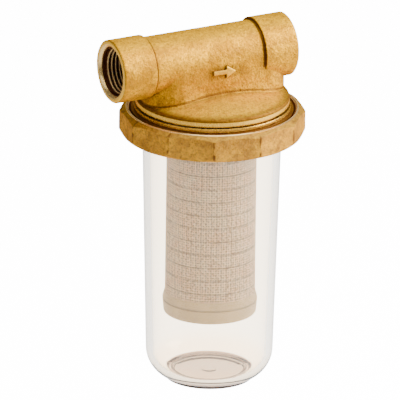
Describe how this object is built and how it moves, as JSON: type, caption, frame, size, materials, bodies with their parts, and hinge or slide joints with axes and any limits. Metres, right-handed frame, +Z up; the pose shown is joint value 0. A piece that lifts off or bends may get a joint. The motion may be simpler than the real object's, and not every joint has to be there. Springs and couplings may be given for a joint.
{
  "type": "magnetic system filter",
  "caption": "Brass in-line magnetic system filter: threaded ports on a horizontal tube, polygonal ring nut, clear bowl and a woven-mesh cartridge round a magnet core.",
  "frame": {"origin": "centre of the foot ring's underside, on the bowl's axis; the port axis is 142.6 mm above it", "axes": "+Z up along the bowl's axis, from the foot to the head; +X along the ports, from the inlet to the outlet"},
  "size_m": [0.0871, 0.078, 0.1561],
  "materials": {
    "cast_brass": "rough cast, with machined collars",
    "nut_brass": "rough cast flats with a turned bevel",
    "clear_plastic": "clear gloss moulding",
    "nylon": "satin",
    "rubber_seal": "smooth",
    "ivory_plastic": "satin",
    "woven_mesh": "fine woven wire",
    "sheath_steel": "drawn tube",
    "dark_plastic": "satin",
    "steel": "turned",
    "pole_steel": "turned",
    "magnet": "nickel plated"
  },
  "bodies": {
    "head": {"head_casting": "cast_brass", "bowl_seal": "rubber_seal"},
    "bowl": {"bowl": "clear_plastic"},
    "slip_ring": {"slip_ring": "nylon"},
    "ring_nut": {"ring_nut": "nut_brass"},
    "cartridge": {"cartridge_collar": "ivory_plastic", "collar_seal": "rubber_seal", "cartridge_cage": "ivory_plastic", "mesh_sleeve": "woven_mesh", "cartridge_cap": "ivory_plastic", "magnet_sheath": "sheath_steel"},
    "magnet_core": {"magnet_plug": "dark_plastic", "plug_seal": "rubber_seal", "magnet_rod": "steel", "pole_disc_1": "pole_steel", "pole_disc_2": "pole_steel", "pole_disc_3": "pole_steel", "pole_disc_4": "pole_steel", "pole_disc_5": "pole_steel", "ring_magnet_1": "magnet", "ring_magnet_2": "magnet", "ring_magnet_3": "magnet", "ring_magnet_4": "magnet", "core_washer": "steel", "core_nut": "steel"}
  },
  "joints": [
    {"name": "bowl_drop", "type": "slide", "parent": "head", "child": "bowl", "axis": [0, 0, -1], "range_m": [0, 0.085]},
    {"name": "nut_travel", "type": "slide", "parent": "bowl", "child": "slip_ring", "axis": [0, 0, -1], "range_m": [0, 0.0065]},
    {"name": "nut_turn", "type": "hinge", "parent": "slip_ring", "child": "ring_nut", "pos_m": [0, 0, 0.1146], "axis": [0, 0, -1], "range_deg": [0, 1170]},
    {"name": "cartridge_pull", "type": "slide", "parent": "head", "child": "cartridge", "axis": [0, 0, -1], "range_m": [0, 0.0095]},
    {"name": "magnet_pull", "type": "slide", "parent": "cartridge", "child": "magnet_core", "axis": [0, 0, -1], "range_m": [0, 0.01]}
  ],
  "couplings": [
    {"joint": "nut_turn", "follows": "nut_travel", "rad_per_m": 3141.6}
  ]
}
